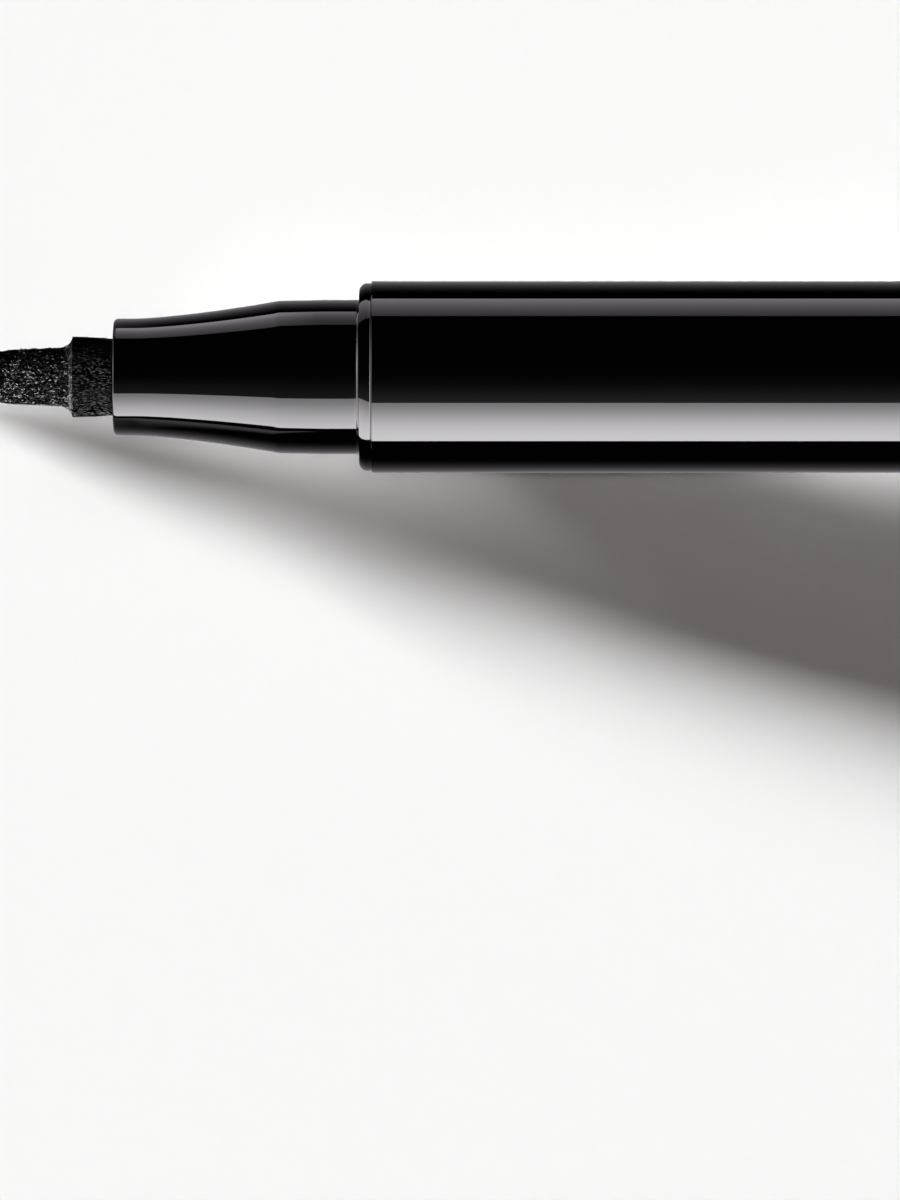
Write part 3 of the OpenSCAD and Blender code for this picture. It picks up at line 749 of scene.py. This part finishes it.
def cap_spring():
    """Round-wire coil spring with closed ends."""
    wire_r = 0.225 * MM
    coil_r = (SPRING_HIGH.z - SPRING_LOW.z) / 2 - wire_r
    front = SPRING_HIGH.x - wire_r
    back = SPRING_LOW.x + wire_r
    turns = 8
    closed = 0.55 * MM
    open_pitch = (front - back - 2 * closed) / (turns - 2)
    per_turn = 48
    sides = 12
    count = turns * per_turn
    vertices = []
    faces = []
    for i in range(count + 1):
        turn = i / per_turn
        x = front - closed * min(turn, 1) - open_pitch * max(0, min(turn - 1, turns - 2))
        x -= closed * max(0, turn - turns + 1)
        a = 2 * math.pi * turn
        for k in range(sides):
            b = 2 * math.pi * k / sides
            r = coil_r + wire_r * math.cos(b)
            vertices.append((x + wire_r * math.sin(b), r * math.cos(a), AXIS_Z + r * math.sin(a)))
    for i in range(count):
        for k in range(sides):
            n = (k + 1) % sides
            a = i * sides
            faces.append((a + k, a + n, a + sides + n, a + sides + k))
    faces.append(tuple(reversed(range(sides))))
    faces.append(tuple(count * sides + k for k in range(sides)))
    piece = new_object("cap_spring_wire", vertices, faces)
    finish_mesh(piece, 40)
    return piece


dress(nose_section(), "pen", "gloss_black", GLOSS, "nose_section")
dress(shoulder_ring(), "pen", "ring_black", RING_GLOSS, "shoulder_ring")
dress(barrel(), "pen", "gloss_black", GLOSS, "barrel")
dress(tail_plug(), "pen", "gloss_black", GLOSS, "tail_plug")
FELT_BODY = felt_nib()
STRANDS = felt_strands("felt_nib_strands", 8500, 11, NOSE_X - 0.02 * MM,
                       (0.015 * MM, 0.011 * MM), (0.16 * MM, 0.24 * MM), (0.6, 0.2))
GRAINS = felt_strands("felt_nib_grains", 1350, 5, COLLAR_X,
                      (0.032 * MM, 0.02 * MM), (0.19 * MM, 0.13 * MM), (0.6, 0.6))
FELT_PIECES = [
    dress(FELT_BODY, "pen", "felt", FELT, "felt_nib"),
    dress(STRANDS, "pen", "felt", STRAND),
    dress(GRAINS, "pen", "felt", GRAIN),
]
dress(cap_shell(), "cap", "gloss_black", GLOSS, "cap_shell")
dress(cap_liner(), "cap", "liner_black", SATIN, "cap_liner")
dress(inner_cap(), "inner_cap", "soft_white", WHITE, "inner_cap")
SPRING = dress(cap_spring(), "cap", "spring_steel", WIRE, "cap_spring")
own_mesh(SPRING)

for node, slot, material in (
    ("nib_holder", "natural_plastic", NATURAL), ("relay_wick", "wick_fibre", WICK),
    ("collector", "natural_plastic", NATURAL), ("collector_seal", "seal_rubber", RUBBER),
    ("ink_tank", "tank_plastic", TANK), ("tank_stopper", "natural_plastic", NATURAL),
    ("mixing_ball", "ball_steel", BALL),
):
    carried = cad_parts[node]
    for place in carried.material_slots:
        place.material = material


# Studio: floor, lights, and the cards that the gloss and the felt's rim reflect

def emitter(name, colour):
    """A material that glows by the level that the mesh gives each point."""
    material = bpy.data.materials.new(name)
    material.use_nodes = True
    tree = material.node_tree
    tree.nodes.clear()
    out = tree.nodes.new("ShaderNodeOutputMaterial")
    glow = tree.nodes.new("ShaderNodeEmission")
    glow.inputs["Color"].default_value = (*colour, 1)
    level = tree.nodes.new("ShaderNodeAttribute")
    level.attribute_name = "level"
    tree.links.new(level.outputs["Fac"], glow.inputs["Strength"])
    tree.links.new(glow.outputs["Emission"], out.inputs["Surface"])
    return material


def only_in_gloss(card):
    """A studio card that shows in reflections alone."""
    card.visible_camera = False
    card.visible_diffuse = False
    card.visible_shadow = False
    card.visible_transmission = False
    card.visible_volume_scatter = False
    return card


def glow_card(name, colour, columns):
    """A card that shows in reflections alone, as a grid: columns of points [x, y, z, level of glow]."""
    rows = len(columns[0])
    points = [point for column in columns for point in column]
    faces = []
    for i in range(len(columns) - 1):
        for j in range(rows - 1):
            a = i * rows + j
            faces.append((a, a + 1, a + rows + 1, a + rows))
    card = new_object(name, [point[:3] for point in points], faces)
    levels = card.data.attributes.new("level", "FLOAT", "POINT")
    levels.data.foreach_set("value", [point[3] for point in points])
    card.data.materials.append(emitter(name, colour))
    return only_in_gloss(card)


# Direction that the tent lies in, as an angle from overhead towards -Y in degrees, against its radiance
BARREL_TENT = [(-92, 0.0), (-60, 0.0), (-30, 0.0), (0, 0.01), (10, 0.06), (20, 0.17), (32.4, 0.36),
               (32.9, 4.4), (38.5, 5.3), (46, 7.4), (54, 9.7), (62, 11.7), (70, 12.6), (78, 12.9),
               (84.8, 12.6), (85.1, 0.0), (92, 0.0)]
NOSE_TENT = [(-92, 0.0), (-60, 0.0), (-30, 0.0), (0, 0.01), (10, 0.05), (20, 0.12), (33.9, 0.2),
             (34.4, 4.0), (40.0, 4.6), (48, 6.1), (56, 7.8), (64, 9.4), (72, 10.4), (80, 11.2),
             (85.2, 11.4), (85.5, 0.0), (92, 0.0)]
TENT_R = 400 * MM
TENT_LEN = 900 * MM
TENT_LIFT = 4 * MM
TENT_SPLIT = (SHOULDER_X - 3.9 * MM, SHOULDER_X - 3.3 * MM)


def tent():
    """Long bent card over the pen, which glows on the -Y side. It splits where the ring's front sees it."""
    columns = []
    for x, stops in ((-TENT_LEN, NOSE_TENT), (TENT_SPLIT[0], NOSE_TENT),
                     (TENT_SPLIT[1], BARREL_TENT), (TENT_LEN, BARREL_TENT)):
        column = []
        for angle, level in stops:
            a = math.radians(angle)
            column.append((x, -TENT_R * math.sin(a), AXIS_Z + TENT_LIFT + TENT_R * math.cos(a), level))
        columns.append(column)
    return glow_card("card_tent", (1.0, 0.975, 1.0), columns)


# The dim card stands close on the +Y side. Height in mm against radiance, beside each length of the pen
CARD_END = 200 * MM
DIM_Y = 20 * MM
BARREL_DIM = [(3.2, 2.45), (5.0, 2.1), (7.0, 1.8), (9.0, 1.38), (11.0, 0.98), (13.0, 0.76)]
NOSE_DIM = [(0.0, 3.0), (2.0, 2.6), (4.0, 1.9), (6.0, 1.4), (8.2, 1.05), (10.4, 0.8)]
SEAT_DIM = [(0.0, 1.7), (2.0, 1.4), (4.0, 1.1), (6.0, 0.8), (8.0, 0.6), (10.2, 0.5)]


def dim_card():
    """Dim card along the pen, whose glow changes from the nose over the cap's seat to the barrel."""
    columns = []
    for x, stops in ((NOSE_X - 0.4 * MM, NOSE_DIM), (SHOULDER_X - 8 * MM, NOSE_DIM),
                     (SHOULDER_X - 3 * MM, SEAT_DIM), (SHOULDER_X - 0.15 * MM, SEAT_DIM),
                     (BARREL_X - 0.15 * MM, BARREL_DIM), (CARD_END, BARREL_DIM)):
        columns.append([(x, DIM_Y, height * MM, level) for height, level in stops])
    return glow_card("card_dim", (1.0, 0.92, 1.02), columns)


# A card just over the floor, seen only in the gloss, hides the pale floor from it and glows dim beside the
# pen in its place: a painted floor reflection. Place across in mm against radiance
FLOOR_REFLECTION = [(400, 0.0), (17, 0.0), (13.7, 0.04), (10.8, 0.14), (8.9, 0.23), (6.5, 0.36), (0, 0.42),
         (-6.5, 0.36), (-8.9, 0.23), (-10.8, 0.14), (-13.7, 0.04), (-17, 0.0), (-60, 0.0), (-400, 0.0)]
FLOOR_REFLECTION_LIFT = 0.1 * MM
FLOOR_REFLECTION_PALE = 0.7


def floor_reflection_card():
    """The card's painted floor reflection glows pale under the nib and dim elsewhere."""
    columns = []
    for x, pale in ((-CARD_END, 0), (CAP_HIGH.x, 0), (CAP_HIGH.x + 2 * MM, 1),
                    (NOSE_X - 5 * MM, 1), (NOSE_X + 1 * MM, 0), (CARD_END, 0)):
        columns.append([(x, y * MM, FLOOR_REFLECTION_LIFT, level + (FLOOR_REFLECTION_PALE - level) * pale) for y, level in FLOOR_REFLECTION])
    return glow_card("card_floor_reflection", (1.0, 0.94, 1.0), columns)


# Caps of a dome about the pen's axis light the fine edges that face the tail or the nib, and the felt rim.
# Turn from overhead towards -Y, in degrees, against radiance
DOME_R = 350 * MM
DOME_FADE = 4
DOME_STEPS = 12
TAIL_DOME = [(-88, 1.0), (-62, 2.0), (-21, 4.7), (0, 7.8), (11, 9.6), (43, 12.0), (72, 15.0), (88, 17.0)]
NIB_DOME = [(-88, 0.6), (-70, 1.4), (-25, 6.0), (13, 4.6), (45, 5.0), (75, 8.0), (88, 9.0)]
RIM_DOME = [(-88, 11.0), (-40, 14.0), (0, 17.0), (40, 17.0), (88, 16.0)]


def dome_card(name, side, start_x, low, high, stops):
    """Cap of the dome between two angles from the pen's axis, in degrees. It fades out at its wide edge."""
    columns = []
    for lean in np.radians(np.linspace(low, high, DOME_STEPS)):
        fade = (math.radians(high) - lean) / math.radians(DOME_FADE)
        column = []
        x = start_x + side * DOME_R * math.cos(lean)
        for turn, level in stops:
            a = math.radians(turn)
            y = -DOME_R * math.sin(lean) * math.sin(a)
            z = AXIS_Z + DOME_R * math.sin(lean) * math.cos(a)
            column.append((x, y, z, level * min(1, fade)))
        columns.append(column)
    return glow_card(name, (1.0, 0.98, 1.0), columns)


FLOOR_REACH = 12.0
FLOOR_DARK = (0.895, 0.895, 0.895)
FLOOR_PALE = (0.905, 0.905, 0.905)


def floor():
    """Plain pale floor with a faint grain."""
    material, tree, shader = new_material("pale floor")
    grain = noise_value(tree, object_coordinates(tree, (2000, 2000, 2000)), 1.0, 2)
    tree.links.new(blend_colours(tree, grain, FLOOR_DARK, FLOOR_PALE), shader.inputs["Base Color"])
    shader.inputs["Roughness"].default_value = 1.0
    shader.inputs["Specular IOR Level"].default_value = 0.0
    reach = FLOOR_REACH
    corners = [(-reach, -reach, 0), (reach, -reach, 0), (reach, reach, 0), (-reach, reach, 0)]
    board = new_object("floor", corners, [(0, 1, 2, 3)])
    board.data.materials.append(material)
    return board


def sun(name, direction, strength, angle, colour=(1, 1, 1)):
    """A distant soft light that shines along a direction."""
    data = bpy.data.lights.new(name, "SUN")
    data.energy = strength
    data.angle = angle
    data.color = colour
    lamp = bpy.data.objects.new(name, data)
    lamp.rotation_euler = Vector(direction).to_track_quat("-Z", "Y").to_euler()
    return add_lamp(lamp)


def add_lamp(lamp):
    lamp.visible_glossy = False
    lamp.visible_camera = False
    bpy.context.scene.collection.objects.link(lamp)
    return lamp


# The key is a long strip light on the +Y side. Its place and half widths are the sideways shift of a
# shadow per height of what casts it.
KEY_HEIGHT = 10.0
KEY_SHIFT = (3.201, 2.058)
KEY_HALF = (2.428, 0.436)
KEY_TURN = 0.417
KEY_POWER = 84000


def strip_light():
    data = bpy.data.lights.new("key", "AREA")
    data.shape = "ELLIPSE"
    data.size = 2 * KEY_HALF[0] * KEY_HEIGHT
    data.size_y = 2 * KEY_HALF[1] * KEY_HEIGHT
    data.energy = KEY_POWER
    data.color = (0.986, 0.997, 0.998)
    lamp = bpy.data.objects.new("key", data)
    lamp.location = (-KEY_SHIFT[0] * KEY_HEIGHT, KEY_SHIFT[1] * KEY_HEIGHT, KEY_HEIGHT)
    lamp.rotation_euler.z = -KEY_TURN
    return add_lamp(lamp)


# The photographed pen is held off the floor, so a bent stand-in casts its shadow. All in mm from the
# shoulder: station, height and place across of its middle line, then station and radius of its outline
STAND_IN_PATH = [(-24.9, 2.0, 0.93), (-18.0, 7.77, 4.61), (-13.5, 10.01, 4.96), (-5.0, 8.36, 3.05),
                 (0.0, 6.87, 1.34), (20.0, 7.75, -3.35), (70.0, 9.73, -3.67)]
STAND_IN_PROFILE = [(-24.9, 0.1), (-23.5, 0.5), (-22.0, 1.1), (-20.5, 1.4), (-18.7, 1.53), (-16.6, 1.62),
                    (-15.9, 2.24), (-13.6, 2.15), (-13.5, 3.2), (-12.3, 3.2), (-10.0, 3.37), (-8.0, 3.62),
                    (-6.0, 3.91), (-4.4, 4.17), (0.0, 4.22), (0.02, 4.7), (0.5, 5.14), (0.66, 5.25),
                    (90.0, 5.25)]


def stand_in():
    """Unseen bent copy of the pen's outline that only casts the shadow on the floor."""
    stations = {s for s, _ in STAND_IN_PROFILE} | {s for s, _, _ in STAND_IN_PATH}
    stations = sorted(stations | set(np.arange(-24, 74, 1.0)))
    path = np.array(STAND_IN_PATH)
    outline = np.array(STAND_IN_PROFILE)
    sides = 48
    vertices = []
    faces = []
    for s in stations:
        r = np.interp(s, outline[:, 0], outline[:, 1])
        z = np.interp(s, path[:, 0], path[:, 1])
        y = np.interp(s, path[:, 0], path[:, 2])
        for k in range(sides):
            a = 2 * math.pi * k / sides
            vertices.append((SHOULDER_X + s * MM, (y + r * math.sin(a)) * MM, (z + r * math.cos(a)) * MM))
    for i in range(len(stations) - 1):
        for k in range(sides):
            n = (k + 1) % sides
            a = i * sides
            faces.append((a + k, a + n, a + sides + n, a + sides + k))
    faces.append(tuple(range(sides)))
    faces.append(tuple(reversed(range((len(stations) - 1) * sides, len(stations) * sides))))
    piece = new_object("shadow_stand_in", vertices, faces)
    piece.data.materials.append(emitter("stand in", (0, 0, 0)))
    piece.visible_camera = False
    piece.visible_diffuse = False
    piece.visible_glossy = False
    piece.visible_transmission = False
    return piece


def group(name, pieces, state):
    """A light-linking group that holds objects, taken in or left out."""
    collection = bpy.data.collections.new(name)
    for piece in pieces:
        collection.objects.link(piece)
    for held in collection.collection_objects:
        held.light_linking.link_state = state
    return collection


FLOOR = floor()
STAND_IN = stand_in()
ONLY_FLOOR = group("only the floor", [FLOOR], "INCLUDE")
NOT_FLOOR = group("all but the floor", [FLOOR], "EXCLUDE")
ONLY_STAND_IN = group("only the stand-in", [STAND_IN], "INCLUDE")
NOT_STAND_IN = group("all but the stand-in", [STAND_IN], "EXCLUDE")
NOT_FELT = group("all but the felt", FELT_PIECES, "EXCLUDE")
ONLY_FELT = group("only the felt", FELT_PIECES, "INCLUDE")

KEY = strip_light()
KEY.light_linking.receiver_collection = ONLY_FLOOR
KEY.light_linking.blocker_collection = ONLY_STAND_IN
FILL = sun("fill", (0, 0, -1), 0.45, math.radians(8), (1.0, 0.9, 0.875))
OBJECT_KEY = sun("object key", (0.0, 0.35, -1.0), 2.7, math.radians(30))
OBJECT_KEY.light_linking.receiver_collection = NOT_FLOOR
RIM_CARD = dome_card("card_dome_rim", -1, COLLAR_X, 3, 46, RIM_DOME)
RIM_CARD.light_linking.receiver_collection = ONLY_FELT
GLOSS_CARDS = [
    dim_card(),
    # glowing card that paints the floor's reflection in the gloss
    floor_reflection_card(),
    dome_card("card_dome_nib", -1, SHOULDER_X, 20, 66, NIB_DOME),
    dome_card("card_dome_tail", 1, BARREL_X, 48, 74, TAIL_DOME),
]
for card in GLOSS_CARDS:
    card.light_linking.receiver_collection = NOT_FELT
for light in [FILL, OBJECT_KEY, tent(), RIM_CARD, *GLOSS_CARDS]:
    light.light_linking.blocker_collection = NOT_STAND_IN


# Camera straight above, at the photograph's framing

PHOTO_W, PHOTO_H = 900, 1200
PIXEL = 0.05486 * MM
SHOULDER_PX, AXIS_PX = 359.8, 377.0
CAMERA_AWAY = 600 * MM
SENSOR = 36

camera_data = bpy.data.cameras.new("camera")
camera_data.sensor_width = SENSOR
# The sensor's width spans the photograph's longer side
camera_data.lens = SENSOR * CAMERA_AWAY / (PHOTO_H * PIXEL)
camera_data.clip_start = 0.01
camera_data.clip_end = 100
camera = bpy.data.objects.new("camera", camera_data)
camera.location = (SHOULDER_X + (PHOTO_W / 2 - SHOULDER_PX) * PIXEL, -(PHOTO_H / 2 - AXIS_PX) * PIXEL,
                   AXIS_Z + CAMERA_AWAY)
bpy.context.scene.collection.objects.link(camera)
bpy.context.scene.camera = camera

# The world only shows as a pale background, to the camera and in gloss and glass

def larger(tree, one, two):
    """The larger of two values."""
    node = tree.nodes.new("ShaderNodeMath")
    node.operation = "MAXIMUM"
    tree.links.new(one, node.inputs[0])
    tree.links.new(two, node.inputs[1])
    return node.outputs[0]


BACKGROUND = (0.94, 0.94, 0.94, 1)
world = bpy.data.worlds.new("world")
world.use_nodes = True
world_tree = world.node_tree
sky = world_tree.nodes["Background"]
rays = world_tree.nodes.new("ShaderNodeLightPath")
seen = larger(world_tree, rays.outputs["Is Camera Ray"], rays.outputs["Is Glossy Ray"])
seen = larger(world_tree, seen, rays.outputs["Is Transmission Ray"])
sky.inputs["Color"].default_value = BACKGROUND
world_tree.links.new(seen, sky.inputs["Strength"])
bpy.context.scene.world = world
bpy.context.scene.view_settings.view_transform = "Standard"
